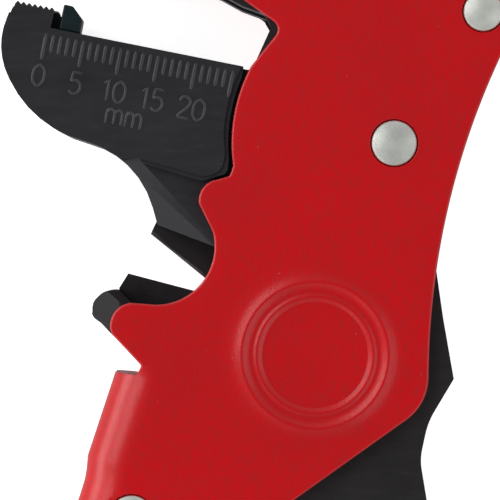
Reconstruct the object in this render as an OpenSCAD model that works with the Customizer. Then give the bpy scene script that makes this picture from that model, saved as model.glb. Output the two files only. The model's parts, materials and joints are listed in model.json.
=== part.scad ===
// Self-adjusting wire stripper lying flat: stamped steel body, moving lower jaw, two pull-back knives,
// cable cutter at the pivot and a length stop on the measuring scale.
// Layout: the handle pivot is at x = y = 0 and z = 0 is the mid-plane, until place() moves the whole tool.

/* [Body plates] */
// Thickness of the stamped steel
plate_t = 1.5; // [1:0.1:1.5]
// Height of the plates' outer faces above the mid-plane
plate_z = 9.5; // [9.5:0.1:9.8]
// Outer radius of the front bend
bend_r = 6.5; // [4:0.5:7]
// Radius of the round embossing over the handle pivot
emboss_r = 9.7; // [9:0.1:10]

/* [Jaws] */
// Half thickness of the lower jaw's raised side panels
panel_z = 9.3; // [9:0.1:9.5]
// Half thickness of the lower jaw between the plates
cheek_z = 6.5; // [6:0.1:6.6]
// Half width of the knife slots
slot_z = 3.9; // [3.9:0.05:4]
// Pitch of the gripping teeth
tooth_pitch = 0.8; // [0.6:0.1:1]

/* [Drive] */
// Distance from the handle pivot to the pull pin
lever_r = 38; // [37.5:0.1:38.2]
// Thickness of the drive lever
lever_t = 3; // [2.5:0.1:3]
// Radius of the handle pivot pin
pivot_r = 4; // [3.5:0.1:4]
// Radial clearance of the turning fits
running_gap = 0.05; // [0.02:0.01:0.1]

/* [Rivets] */
// Head radius of the two large rivets
large_head_r = 2.95; // [2.6:0.05:3.2]
// Head radius of the small rivets
small_head_r = 2.58; // [2.5:0.02:3]
// Height of the domed heads
head_h = 1; // [0.5:0.1:1.2]
// Radius of the rivet shanks
shank_r = 2.25; // [2:0.05:2.3]

/* [Handles] */
// Half thickness of the plastic grips
grip_z = 11; // [10.8:0.1:11.5]
// Half thickness of the rear handle between the plates
handle_z = 7.7; // [7:0.1:7.7]

/* [Hidden] */
$fn = 48;

// The tool's box in layout coordinates: its middle goes to the origin, its underside to z = 0
box_left = -56;
box_right = 29;
box_bottom = -121;
box_top = 62.6;

// Directions of the gripping line on the body and on the open lower jaw
grip_angle = -21.3;
open_angle = -11.3;

// Fixed points
jaw_pivot = [10.4, 27.8];
head_point = [22.1, 45.1];
upper_point = [-9, 55.5];
handle_point = [-24.1, -21.4];
spring_y = -11;

// Inner face of the plates
inner_z = plate_z - plate_t;

// Rest angle of the drive lever, and its pull pin along the gripping line
lever_angle = 85.5;
pull_pin_r = 2.5;
pull_pin_at = lever_r * [cos(lever_angle), sin(lever_angle)];
pin_s = lever_r * cos(lever_angle - grip_angle);

// Levels above the handle pivot, square to the gripping line
grip_h = 38.7;
yoke_low = 33.5;
yoke_high = 43.5;

// Levels above the jaw pivot, square to the open jaw's edge
teeth_f = 8.7;
scale_f = 6;
slot_floor = -2.4;

// Places along the two jaw lines
upper_knife_s = -48;
lower_knife_e = -47.6;
knife_t = 1.4;

// Closing roller on the handle's cutter arm
roller_at = [-9.8, 7.2];
roller_r = 3;

// ---------- Helpers ----------
function unit(v) = v / norm(v);
function turned(v, a) = [v[0] * cos(a) - v[1] * sin(a), v[0] * sin(a) + v[1] * cos(a)];
function flat(lists) = [for (list = lists) for (p = list) p];

// Points of an arc about c from angle a to angle b
function arc(c, r, a, b, n = 12) = [for (i = [0 : n]) c + turned([r, 0], a + (b - a) * i / n)];

// One corner of an outline, rounded to radius r
function corner(before, at, after, r, n) =
    r == 0 ? [at] :
    let (u = unit(before - at), v = unit(after - at))
    let (half = acos(max(-1, min(1, u * v))) / 2)
    let (c = at + unit(u + v) * r / sin(half))
    let (start = at + u * r / tan(half) - c)
    let (side = u[0] * v[1] - u[1] * v[0] > 0 ? -1 : 1)
    [for (i = [0 : n]) c + turned(start, side * (180 - 2 * half) * i / n)];

// A closed outline from corners [x, y, radius]
function soft(pts, n = 6) = flat([for (i = [0 : len(pts) - 1])
    let (p = pts[i], a = pts[(i + len(pts) - 1) % len(pts)], b = pts[(i + 1) % len(pts)])
    corner([a[0], a[1]], [p[0], p[1]], [b[0], b[1]], p[2], p[2] > 20 ? 2 * n : n)]);

module place() translate([-(box_left + box_right) / 2, -(box_bottom + box_top) / 2, grip_z]) children();

module slab(z0, z1) translate([0, 0, z0]) linear_extrude(z1 - z0) children();

module both_sides(z0, z1) {
    slab(z0, z1) children();
    slab(-z1, -z0) children();
}

// A block between two corners, centred on the mid-plane
module block(x0, x1, y0, y1, z) translate([x0, y0, -z]) cube([x1 - x0, y1 - y0, 2 * z]);

module on_grip_line() rotate([0, 0, grip_angle]) children();

module on_lower_jaw() translate([jaw_pivot[0], jaw_pivot[1], 0]) rotate([0, 0, open_angle]) children();

module pin_at(p, r, z0, z1) translate([p[0], p[1], z0]) cylinder(r = r, h = z1 - z0);

// ---------- Outlines ----------
// Flat part of a body plate: head, throat, nose and handle tang up to the front bend
plate_corners_head = [[-9.5, 46.7, 10], [-16, 51.4, 6], [-18.8, 58.4, 4], [-13, 62.6, 5], [6, 62.6, 30],
    [22, 57.7, 20], [29, 49.4, 7], [15.3, 19.2, 100], [14.85, -6.5, 7], [-17.4, -29.5, 8],
    [-28.9, -62, 0], [-40.2, -62, 0], [-23.6, -14.4, 0], [-19.7, -2.4, 0], [-23.3, -2.4, 0],
    [-22.8, -1.4, 0.3]];
plate_corners_nose = [[-28.2, 4.4, 2.6], [-24.4, 7, 1.5]];
cutter_bay = arc([-20.9, 14.3], 7.72, -90, 14, 10);
guard_bump = arc([-12.5, 20.3], 2.75, 190, 97, 6);
throat_arc = arc(jaw_pivot, 21.35, 188, 152, 10);
throat_corners = [[-6.3, 40.55, 2], [-4.3, 43, 0.9]];

// The same points as square corners of an outline
function square_corners(pts) = [for (p = pts) [p[0], p[1], 0]];

module plate_outline() polygon(soft(flat([plate_corners_head, plate_corners_nose,
    square_corners(cutter_bay), square_corners(guard_bump), [[-11.2, 23.5, 0.5]],
    square_corners(throat_arc), throat_corners]), 5));

upper_jaw_corners = [[-35.8, 55.5, 0.4], [-38.2, 58.4, 2.5], [-34.5, 61.4, 3], [-19, 61.9, 10],
    [5.8, 62.1, 30], [21.8, 57.2, 20], [28.4, 49.2, 6.5], [21.2, 34.6, 1.5]];

lower_jaw_tip = [[-39.5, 46.55, 0.4], [-42.1, 40.4, 9.3], [-37.1, 29.85, 14.8], [-23.3, 26.3, 12.4],
    [-20.75, 17.1, 0.5]];

rear_handle_corners = [[-24.6, 9, 0.8], [-29, 8.4, 2.4], [-29.6, 5.1, 1.5], [-20, -1.2, 4], [-9.5, -6.5, 6],
    [-6, -17, 10], [4.2, -30, 0], [9.5, -60, 20], [12.5, -95, 3], [20, -95, 3], [21.5, -60, 20],
    [14.7, -18.8, 8], [13.85, -13.8, 7], [14.9, -8.9, 10], [18.3, -3.2, 0.3], [16.9, 4.8, 20],
    [15.9, 11.8, 1], [9.5, 12, 6], [-3, 10.5, 6], [-12.5, 3.6, 5]];

rear_grip_corners = [[4, -26, 2], [7.5, -50, 40], [9, -85, 50], [5.5, -108, 20], [8.5, -121, 6], [22, -121, 8],
    [29, -103, 20], [29, -72, 40], [17.2, -24, 3]];

front_grip_corners = [[-38.8, -35.5, 3], [-50, -66, 60], [-56, -88, 30], [-56, -112, 12], [-52, -121, 6],
    [-40, -121, 8], [-35.6, -104, 20], [-33, -84, 50], [-16.8, -39, 3]];

// ---------- Body plates ----------
// Section of the front bend: from the flat plate round to the mid-plane seam
module bend_section() difference() {
    intersection() {
        union() {
            translate([bend_r, plate_z - bend_r]) circle(r = bend_r);
            square([bend_r, plate_z - bend_r]);
        }
        square([bend_r, plate_z]);
    }
    translate([bend_r, plate_z - bend_r]) circle(r = bend_r - plate_t);
    translate([plate_t, -1]) square([bend_r, plate_z - bend_r + 1]);
}

// A straight length of the bend from point p down the handle, at an angle from the vertical
module bend_run(p, angle, length) translate([p[0], p[1], 0]) rotate([0, 0, -angle]) rotate([90, 0, 0])
    linear_extrude(length) bend_section();

// Revolved embossing: a broad outer ring, a groove, a narrow inner ring and a flat centre
module embossing() {
    top = plate_z;
    rings = [[0, inner_z], [emboss_r, inner_z], [emboss_r, top], [9.1, top + 0.28], [8.6, top + 0.4],
        [8.2, top + 0.25], [7.95, top - 0.05], [7.7, top + 0.12], [7.35, top + 0.3], [7, top + 0.15],
        [6.7, top - 0.1], [0, top - 0.1]];
    rotate_extrude($fn = 96) polygon(rings);
}

module shell_half() difference() {
    union() {
        difference() {
            slab(inner_z, plate_z) plate_outline();
            pin_at([0, 0], emboss_r, inner_z - 1, plate_z + 1);
        }
        embossing();
        intersection() {
            union() {
                bend_run([-25.5, 0.04], 18.3, 15.2);
                bend_run([-29.7, -14.4], 19.7, 50.6);
            }
            translate([-80, -62, 0]) cube([90, 59.6, 20]);
        }
    }
    pin_at([0, 0], pivot_r, inner_z - 1, inner_z + 0.6);
    for (p = [jaw_pivot, head_point, upper_point, handle_point]) pin_at(p, shank_r, inner_z - 1, plate_z + 1);
}

module front_shell() color("#B0171A") place() shell_half();

module back_shell() color("#B0171A") place() mirror([0, 0, 1]) shell_half();

// ---------- Fixed upper jaw ----------
module upper_jaw() color("#2E2E31") place() difference() {
    union() {
        difference() {
            slab(-inner_z, inner_z) polygon(soft(upper_jaw_corners));
            on_grip_line() block(-80, 40, 0, grip_h, 20);
        }
        both_sides(cheek_z + 0.3, inner_z) polygon(soft([[-8.1, 37.9, 0.3], [-5.75, 43.1, 0.8],
            [-6.6, 44.6, 0], [-1, 46, 0], [-1, 42, 3], [-5.8, 37.2, 0.3]]));
    }
    on_grip_line() {
        block(upper_knife_s - 1, 14, 0, 44, slot_z);
        block(upper_knife_s - 1, -28.6, 0, grip_h + 1, 20);
        block(-60, upper_knife_s - 1, 0, grip_h + 1.7, 20);
    }
    pin_at(head_point, shank_r, -20, 20);
    pin_at(upper_point, shank_r, -20, 20);
}

// A toothed strip from x = 0 to length, crests at y = 0, body going down
module toothed_strip(length, depth) {
    count = floor(length / tooth_pitch);
    pitch = length / count;
    crests = flat([for (i = [0 : count - 1]) [[i * pitch, -0.45], [(i + 0.5) * pitch, 0]]]);
    polygon(concat(crests, [[length, -0.45], [length, -depth], [0, -depth]]));
}

module upper_grip_teeth() color("#8E9094") place() on_grip_line()
    translate([-53.4, grip_h, 0]) mirror([0, 1, 0]) slab(-inner_z, inner_z) toothed_strip(4.4, 1.7);

// ---------- Pivots, rivets and spacers ----------
module main_pivot_pin() color("#A8AAAC") place() pin_at([0, 0], pivot_r, -inner_z - 0.6, inner_z + 0.6);

// A shank with a low domed head at each end, as one turned solid
module rivet(head_r) {
    dome = [for (a = [0 : 15 : 90]) [head_r * cos(a), plate_z + head_h * sin(a)]];
    foot = [for (a = [90 : -15 : 0]) [head_r * cos(a), -plate_z - head_h * sin(a)]];
    rotate_extrude() polygon(concat([[shank_r, plate_z]], dome, foot, [[shank_r, -plate_z]]));
}

module rivet_at(p, head_r) color("#C6C8C2") place() translate([p[0], p[1], 0]) rivet(head_r);

module tube_at(p, outer, inner, z) translate([p[0], p[1], -z]) difference() {
    cylinder(r = outer, h = 2 * z);
    translate([0, 0, -1]) cylinder(r = inner, h = 2 * z + 2);
}

module jaw_pivot_rivet() rivet_at(jaw_pivot, large_head_r);

module jaw_pivot_bush() color("#B89A5A") place() tube_at(jaw_pivot, 3.2, shank_r, inner_z);

module head_rivet() rivet_at(head_point, small_head_r);

module upper_jaw_rivet() rivet_at(upper_point, small_head_r);

module handle_rivet() rivet_at(handle_point, large_head_r);

module spacer_sleeve() color("#9A9C9E") place() tube_at(handle_point, 3, shank_r, inner_z - 0.4);

// ---------- Front handle ----------
module front_grip() color("#232325") place() difference() {
    slab(-grip_z, grip_z) polygon(soft(front_grip_corners));
    slab(-plate_z, plate_z) polygon([[-18.5, -30], [-17.4, -29.5], [-28.9, -62], [-47.2, -62], [-35.6, -30]]);
}

// Round wire swept along a helix about +x, as one closed surface
module coil(length, turns, radius, wire_r) {
    steps = 14 * turns;
    sides = 8;
    rings = [for (i = [0 : steps]) let (a = 360 * turns * i / steps)
        [for (j = [0 : sides - 1]) let (b = 360 * j / sides, r = radius + wire_r * cos(b))
            [wire_r + (length - 2 * wire_r) * i / steps + wire_r * sin(b), r * cos(a), r * sin(a)]]];
    walls = [for (i = [0 : steps - 1]) for (j = [0 : sides - 1]) let (k = (j + 1) % sides)
        [i * sides + j, i * sides + k, (i + 1) * sides + k, (i + 1) * sides + j]];
    ends = [[for (j = [sides - 1 : -1 : 0]) j], [for (j = [0 : sides - 1]) steps * sides + j]];
    polyhedron(flat(rings), concat(walls, ends));
}

seat_left = -25.6;
spring_left = -23.6;
spring_right = -9.4;

module spring_seat() color("#3A3A3C") place() translate([seat_left, spring_y, 0]) rotate([0, 90, 0]) difference() {
    cylinder(r = 4.2, h = spring_left - seat_left + 1.2);
    translate([0, 0, spring_left - seat_left]) cylinder(r = 3.5, h = 5);
}

module return_spring() color("#A5A7AA") place() translate([spring_left, spring_y, 0])
    coil(spring_right - spring_left, 5, 2.9, 0.5);

// ---------- Rear handle ----------
lever_corners = [[-6.2, 3, 4], [-6.3, 14, 10], [-8.6, 24, 6], [-8.3, 34, 6], [-2.4, 42, 4], [7.4, 42, 4],
    [7.2, 33.8, 1], [-3.6, 33.6, 3.3], [-3.6, 25.7, 3.3], [7.5, 24.2, 1.5], [8, 0, 7], [6, -7.8, 5],
    [-6.2, -7.8, 5]];

module lever_outline() polygon(soft(lever_corners));

module rear_handle() color("#262424") place() difference() {
    slab(-handle_z, handle_z) polygon(soft(rear_handle_corners));
    slab(-lever_t / 2, lever_t / 2) lever_outline();
    pin_at([0, 0], pivot_r + running_gap, -20, 20);
    slab(-2.5, -0.05) polygon(lower_blade_points);
    for (p = lower_screw_points) pin_at(p, 1.25, -6, -0.05);
    pin_at(roller_at, roller_r + 0.6, -3.8, 3.8);
    slab(-3.8, 3.8) polygon([[-13.4, 7.2], [-6.2, 7.2], [-5, 14], [-15, 14]]);
    pin_at(roller_at, 1.25, -6, 6);
    translate([-13, spring_y, 0]) rotate([0, 90, 0]) cylinder(r = 4.2, h = spring_right + 13);
}

module rear_grip() color("#2A292A") place() difference() {
    slab(-grip_z, grip_z) polygon(soft(rear_grip_corners));
    slab(-handle_z, handle_z) polygon(soft(rear_handle_corners));
}

module drive_lever() color("#8B8D90") place() difference() {
    slab(-lever_t / 2, lever_t / 2) lever_outline();
    pin_at([0, 0], pivot_r + running_gap, -20, 20);
    pin_at(pull_pin_at, pull_pin_r, -20, 20);
}

module pull_pin() color("#B4B6B8") place() pin_at(pull_pin_at, pull_pin_r, -3.5, 3.5);

module closing_roller() color("#9C9EA0") place() tube_at(roller_at, roller_r, 1.25 + running_gap, 3.5);

module roller_pin() color("#B4B6B8") place() pin_at(roller_at, 1.25, -6, 6);

// ---------- Cable cutter ----------
lower_blade_points = [[-24.76, 10.66], [-16.2, 8.4], [-13.4, 7.3], [-14.4, 2.4], [-24, 4.6], [-26, 8.7]];
lower_screw_points = [[-22.4, 6.4], [-16.4, 5]];
upper_blade_points = [[-21.75, 15.9], [-13.6, 9.3], [-11.6, 12.6], [-12.4, 18.4], [-20, 19.5]];
upper_screw_points = [[-18.6, 18.2], [-14.2, 16.6]];

// A shearing blade, its cutting face on the side where the two blades pass
module blade(points, z0, z1, screws) difference() {
    slab(z0, z1) polygon(points);
    for (p = screws) pin_at(p, 1.25, z0 - 1, z1 + 1);
}

module lower_cutter_blade() color("#55565A") place() blade(lower_blade_points, -2.5, -0.05, lower_screw_points);

module lower_cutter_screws() color("#909294") place() for (p = lower_screw_points) pin_at(p, 1.25, -6, -0.05);

module upper_cutter_blade() color("#55565A") place() blade(upper_blade_points, 0.05, 2.5, upper_screw_points);

module upper_cutter_screws() color("#909294") place() for (p = upper_screw_points) pin_at(p, 1.25, 0.05, 5.5);

// ---------- Lower jaw ----------
// Profile of the whole jaw: tip, arm, heel over the roller, hub
module lower_jaw_outline() polygon(soft(flat([lower_jaw_tip, [[-13.4, 14.3, 0.5], [-9.6, 12, 1.5],
    [-10.6, 10.35, 0.6], [-2.2, 10.5, 1], [3, 17, 8], [17.5, 22, 6], [17.6, 35.4, 6], [5, 35.6, 8],
    [-9.2, 37.6, 0.5]]])));

module lower_jaw_body() {
    // Tip and raised panel, outside the plates
    slab(-panel_z, panel_z) intersection() {
        polygon(soft(flat([lower_jaw_tip, [[-9.4, 13.9, 0], [-9.4, 38, 0]]])));
        difference() {
            polygon(soft([[-50, 60, 0], [-50, 20, 0], [-25.2, 26, 3], [-14.9, 22.85, 2], [-11.5, 23.8, 1],
                [-10.9, 30, 0], [-5, 60, 0]]));
            translate(jaw_pivot) circle(r = 21.8, $fn = 96);
        }
    }
    // Arm below the panel
    slab(-handle_z, handle_z) difference() {
        lower_jaw_outline();
        translate(jaw_pivot) circle(r = 24, $fn = 96);
    }
    // Cheeks between the plates
    slab(-cheek_z, cheek_z) lower_jaw_outline();
}

module lower_jaw() color("#303033") place() difference() {
    lower_jaw_body();
    on_lower_jaw() {
        // Step down from the toothed tip to the measuring edge
        slab(-20, 20) polygon([[-60, teeth_f - 1.7], [-47.2, teeth_f - 1.7], [-47.2, scale_f], [40, scale_f],
            [40, 30], [-60, 30]]);
        // Knife slot, deeper where the pull yoke and the rivet's bush pass between the cheeks
        slab(-slot_z, slot_z) polygon([[-48.8, slot_floor], [-14, slot_floor], [-14, -6], [25, -6], [25, 31],
            [-48.8, 31]]);
        // Slot for the drive lever
        slab(-1.9, 1.9) polygon([[-19.6, -31], [26, -31], [26, 32], [-19.6, 32]]);
    }
    pin_at(jaw_pivot, 3.2 + running_gap, -20, 20);
    slab(0.05, 2.5) polygon(upper_blade_points);
    for (p = upper_screw_points) pin_at(p, 1.25, 0.05, 5.5);
    slab(-2.6, 0.1) polygon([[-25, 20], [-25, 12], [-8, 7], [-8, 12.2], [-20.4, 18]]);
}

module lower_grip_teeth() color("#6A6C70") place() on_lower_jaw() difference() {
    translate([-52.5, teeth_f, 0]) slab(-8.9, 8.9) toothed_strip(5.3, 1.7);
    block(-48.8, -40, 0, 20, slot_z);
}

// ---------- Knives ----------
module pull_yoke() color("#7E8083") place() on_grip_line() difference() {
    translate([pin_s, 0, 0]) {
        block(-5.4, 5.4, yoke_low, yoke_high, 3.6);
        block(-12, -5, 40, yoke_high, 3.6);
    }
    translate([pin_s, 0, 0]) {
        block(-7.2, 20, 0, 60, lever_t / 2 + 0.3);
        block(-20, 20, 0, 39.2, lever_t / 2 + 0.3);
        slot_half = pull_pin_r + 0.15;
        slab(-20, 20) {
            translate([0, 38.3]) circle(r = slot_half);
            translate([0, 36.1]) circle(r = slot_half);
            translate([-slot_half, 36.1]) square([2 * slot_half, 2.2]);
        }
    }
    translate([pin_s - 9.6, 41.8, -20]) cylinder(r = 1.25, h = 40);
}

module yoke_screw() color("#B4B6B8") place() on_grip_line()
    translate([pin_s - 9.6, 41.8, -3.6]) cylinder(r = 1.25, h = 7.2);

module upper_knife_arm() color("#7A7C80") place() on_grip_line()
    block(upper_knife_s + knife_t / 2, pin_s - 12, 40.6, yoke_high, 2.6);

module upper_knife() color("#C9CBCD") place() on_grip_line()
    block(upper_knife_s - knife_t / 2, upper_knife_s + knife_t / 2, grip_h + 0.1, yoke_high, 2.9);

module lower_knife_arm() color("#7A7C80") place() on_lower_jaw()
    block(lower_knife_e + knife_t / 2, -23, 1.2, 5.2, 2.6);

module lower_knife() color("#C9CBCD") place() on_lower_jaw()
    block(lower_knife_e - knife_t / 2, lower_knife_e + knife_t / 2, 1.2, teeth_f - 0.1, 2.9);

// ---------- Length stop ----------
stop_e = -46.1;

module length_stop() color("#1F1F22") place() on_lower_jaw() {
    both_sides(3.2, 8.8) polygon([[stop_e, scale_f + 0.05], [stop_e, 9.4], [stop_e + 1.2, 9.4],
        [stop_e + 2.8, 7.9], [stop_e + 2.8, scale_f + 0.05]]);
    both_sides(3.2, 3.75) translate([stop_e, -2.1]) square([2.8, 8.2]);
    block(stop_e, stop_e + 2.8, -2.1, 0.6, 3.75);
}

front_shell();
back_shell();
upper_jaw();
upper_grip_teeth();
main_pivot_pin();
jaw_pivot_rivet();
jaw_pivot_bush();
head_rivet();
upper_jaw_rivet();
handle_rivet();
spacer_sleeve();
front_grip();
return_spring();
spring_seat();
rear_handle();
rear_grip();
drive_lever();
pull_pin();
closing_roller();
roller_pin();
lower_cutter_blade();
lower_cutter_screws();
lower_jaw();
lower_grip_teeth();
upper_cutter_blade();
upper_cutter_screws();
pull_yoke();
upper_knife_arm();
upper_knife();
yoke_screw();
lower_knife_arm();
lower_knife();
length_stop();
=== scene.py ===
"""Wire stripper: finished surfaces, materials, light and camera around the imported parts.

Outlines are in layout millimetres: x and y from the handle pivot, z from the mid-plane. put() carries
every mesh into the frame, whose handle hinge fixes the layout's origin.
"""

import bpy
import bmesh
import json
import math
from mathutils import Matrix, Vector
from mathutils.geometry import delaunay_2d_cdt

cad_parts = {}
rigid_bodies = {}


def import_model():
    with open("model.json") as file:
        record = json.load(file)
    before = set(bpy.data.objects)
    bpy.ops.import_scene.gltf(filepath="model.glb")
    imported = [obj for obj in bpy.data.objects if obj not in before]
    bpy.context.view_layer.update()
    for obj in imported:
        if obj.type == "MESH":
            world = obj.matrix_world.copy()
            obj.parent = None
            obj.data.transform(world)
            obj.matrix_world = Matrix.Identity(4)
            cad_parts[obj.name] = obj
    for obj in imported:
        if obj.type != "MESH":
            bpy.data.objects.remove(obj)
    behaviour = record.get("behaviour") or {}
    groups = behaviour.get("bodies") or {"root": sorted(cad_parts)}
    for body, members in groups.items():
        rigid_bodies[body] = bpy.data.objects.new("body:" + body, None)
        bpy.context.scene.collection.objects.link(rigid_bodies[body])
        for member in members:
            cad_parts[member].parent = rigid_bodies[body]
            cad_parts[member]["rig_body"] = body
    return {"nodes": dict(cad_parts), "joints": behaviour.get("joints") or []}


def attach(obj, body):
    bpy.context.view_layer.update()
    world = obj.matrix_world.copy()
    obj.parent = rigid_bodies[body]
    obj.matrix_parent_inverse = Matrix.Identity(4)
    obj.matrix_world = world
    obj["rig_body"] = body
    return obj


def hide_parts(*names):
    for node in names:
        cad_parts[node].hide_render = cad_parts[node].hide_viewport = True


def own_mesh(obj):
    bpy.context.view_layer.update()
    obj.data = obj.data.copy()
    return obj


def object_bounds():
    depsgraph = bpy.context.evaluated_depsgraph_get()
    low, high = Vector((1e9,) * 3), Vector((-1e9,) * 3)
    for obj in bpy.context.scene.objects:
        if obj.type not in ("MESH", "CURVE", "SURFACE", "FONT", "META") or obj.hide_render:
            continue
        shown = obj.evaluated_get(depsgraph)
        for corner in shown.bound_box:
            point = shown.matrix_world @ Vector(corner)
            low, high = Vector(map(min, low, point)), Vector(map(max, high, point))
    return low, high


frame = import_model()
CAD_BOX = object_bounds()

MM = 0.001
HINGES = {j["name"]: j for j in frame["joints"]}
ORIGIN = Vector(HINGES["handle_squeeze"]["pos_m"])
JAW_PIVOT = (Vector(HINGES["jaw_close"]["pos_m"]) - ORIGIN).xy / MM
HEAD_RIVET = (22.1, 45.1)
UPPER_RIVET = (-9.0, 55.5)
HANDLE_RIVET = (-24.1, -21.4)
GRIP_ANGLE = -21.3  # slope of the upper jaw's grip line, in degrees
GRIP_LINE = 38.7  # height of that line above the handle pivot
OPEN_ANGLE = -11.3  # slope of the open lower jaw's edge, in degrees
KNIFE_SLOT = 3.9  # half width of the slot that the knives run in
PLATE_TOP = 9.5
PLATE_T = 1.5
BEND_R = 6.5  # how deep the plate's bend at the front edge goes
BEND_WIDTH = 6.3  # how far it reaches in from that edge
BEND_POWER = 2.6  # an ellipse has 2; more makes the bend squarer
SPINE_SLANT = 0.945  # cosine of the front edge's lean
GRIP_Z = 11.0


# ---------- Plane geometry ----------
def turn(p, degrees):
    a = math.radians(degrees)
    return (p[0] * math.cos(a) - p[1] * math.sin(a), p[0] * math.sin(a) + p[1] * math.cos(a))


def on_jaw(e, f):
    """A point given along (e) and above (f) the open lower jaw's edge, from the jaw pivot."""
    x, y = turn((e, f), OPEN_ANGLE)
    return (x + JAW_PIVOT[0], y + JAW_PIVOT[1])


def on_grip_line(s, h):
    return turn((s, h), GRIP_ANGLE)


def arc(c, r, a, b, n=12):
    """Points round c at radius r, from angle a to angle b in n steps."""
    angles = [math.radians(a + (b - a) * i / n) for i in range(n + 1)]
    return [(c[0] + r * math.cos(t), c[1] + r * math.sin(t)) for t in angles]


def soft(corners, step=0.5):
    """A closed outline from (x, y, radius) corners; a corner without a radius stays sharp."""
    out = []
    for i, (x, y, *rest) in enumerate(corners):
        r = rest[0] if rest else 0
        at = Vector((x, y))
        if not r:
            out.append((x, y))
            continue
        before = Vector(corners[i - 1][:2])
        after = Vector(corners[(i + 1) % len(corners)][:2])
        u = (before - at).normalized()
        v = (after - at).normalized()
        half = math.acos(max(-1, min(1, u.dot(v)))) / 2
        c = at + (u + v).normalized() * r / math.sin(half)
        start = at + u * r / math.tan(half) - c
        side = -1 if u.cross(v) > 0 else 1
        total = 180 - 2 * math.degrees(half)
        n = max(2, math.ceil(math.radians(total) * r / step))
        for k in range(n + 1):
            x1, y1 = turn(start, side * total * k / n)
            out.append((c.x + x1, c.y + y1))
    return out


def spline(pts, n=6):
    """A smooth open curve through points."""
    out = []
    for i in range(len(pts) - 1):
        p0, p1, p2, p3 = (Vector(pts[max(0, min(len(pts) - 1, i + k))]) for k in (-1, 0, 1, 2))
        for k in range(n):
            t = k / n
            q = p1 * 2 + (p2 - p0) * t + (p0 * 2 - p1 * 5 + p2 * 4 - p3) * t * t
            q = (q + (p1 * 3 - p0 - p2 * 3 + p3) * t**3) / 2
            out.append(tuple(q))
    return out + [tuple(pts[-1])]


def area(loop):
    return sum(a[0] * b[1] - b[0] * a[1] for a, b in zip(loop, loop[1:] + loop[:1])) / 2


def resample(loop, step):
    """The same outline, counterclockwise, without near-double points and with no edge over step."""
    if area(loop) < 0:
        loop = loop[::-1]
    clean = [p for i, p in enumerate(loop) if math.dist(p, loop[i - 1]) > 0.02]
    out = []
    for a, b in zip(clean, clean[1:] + clean[:1]):
        n = max(1, math.ceil(math.dist(a, b) / step))
        out += [(a[0] + (b[0] - a[0]) * k / n, a[1] + (b[1] - a[1]) * k / n) for k in range(n)]
    return out


def inset(loop, d):
    """A counterclockwise loop moved inwards by d, point by point."""
    out = []
    for i, p in enumerate(loop):
        a = (Vector(p) - Vector(loop[i - 1])).normalized()
        b = (Vector(loop[(i + 1) % len(loop)]) - Vector(p)).normalized()
        n = Vector((-a.y - b.y, a.x + b.x)).normalized()
        stretch = 1 / max(0.6, n.dot(Vector((-a.y, a.x))))
        out.append((p[0] + n.x * d * stretch, p[1] + n.y * d * stretch))
    return out


def inside(p, loop):
    x, y = p
    hit = False
    for (x1, y1), (x2, y2) in zip(loop, loop[1:] + loop[:1]):
        if (y1 > y) != (y2 > y) and x < (x2 - x1) * (y - y1) / (y2 - y1) + x1:
            hit = not hit
    return hit


def smooth(t):
    t = max(0.0, min(1.0, t))
    return t * t * (3 - 2 * t)


# ---------- Mesh building ----------
def triangulate(loops, extra=()):
    """Triangles over the first loop less the others; loops and extra points as 2D, indices in one list."""
    pts = [Vector(p) for loop in loops for p in loop] + [Vector(p) for p in extra]
    edges = []
    start = 0
    for loop in loops:
        edges += [(start + i, start + (i + 1) % len(loop)) for i in range(len(loop))]
        start += len(loop)
    verts, _, faces, origin, _, _ = delaunay_2d_cdt(pts, edges, [], 0, 1e-6)
    index = [o[0] if o else None for o in origin]
    out = []
    for f in faces:
        ids = [index[i] for i in f]
        if None in ids or len(set(ids)) < 3:
            continue
        c = sum((verts[i] for i in f), Vector((0, 0))) / len(f)
        if inside(c, loops[0]) and not any(inside(c, h) for h in loops[1:]):
            out.append(ids)
    return out


def ring(bm, pts, z):
    return [bm.verts.new((x, y, z)) for x, y in pts]


def bridge(bm, lower, upper):
    n = len(lower)
    for i in range(n):
        k = (i + 1) % n
        bm.faces.new((lower[i], lower[k], upper[k], upper[i]))


def lattice(loop, holes, step, margin):
    """Evenly spaced points inside a loop, clear of every edge by margin."""
    xs = [p[0] for p in loop]
    ys = [p[1] for p in loop]
    rims = [Vector(p) for l in [loop] + holes for p in l]
    out = []
    rows = int((max(ys) - min(ys)) / (step * 0.866)) + 1
    for j in range(rows):
        y = min(ys) + j * step * 0.866
        for i in range(int((max(xs) - min(xs)) / step) + 2):
            p = (min(xs) + (i + 0.5 * (j % 2)) * step, y)
            if inside(p, loop) and not any(inside(p, h) for h in holes):
                if min((Vector(p) - r).length_squared for r in rims) > margin * margin:
                    out.append(p)
    return out


def prism(bm, outline, z0, z1, top=0.3, bottom=0.3, holes=(), step=1.0, turns=4):
    """A flat piece with rounded upper and lower edges."""
    loop = resample(outline, step)
    levels = []
    for k in range(turns + 1):
        a = math.pi / 2 * (1 - k / turns)
        levels.append((bottom * (1 - math.cos(a)), z0 + bottom * (1 - math.sin(a))))
    for k in range(turns + 1):
        a = math.pi / 2 * k / turns
        levels.append((top * (1 - math.cos(a)), z1 - top + top * math.sin(a)))
    if not bottom:
        levels = levels[turns:]
    if not top:
        levels = levels[: -turns] if turns else levels
    rings = [ring(bm, inset(loop, d) if d else loop, z) for d, z in levels]
    for lower, upper in zip(rings, rings[1:]):
        bridge(bm, lower, upper)
    hole_rings = []
    for h in holes:
        h = resample(h, step)
        low, high = ring(bm, h, z0), ring(bm, h, z1)
        bridge(bm, high, low)
        hole_rings.append((low, high))
    for cap, side in ((rings[0], 0), (rings[-1], 1)):
        loops = [cap] + [h[side] for h in hole_rings]
        flat = [v for l in loops for v in l]
        for ids in triangulate([[tuple(v.co.xy) for v in l] for l in loops]):
            bm.faces.new([flat[i] for i in (ids if side else ids[::-1])])
    return rings


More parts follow.
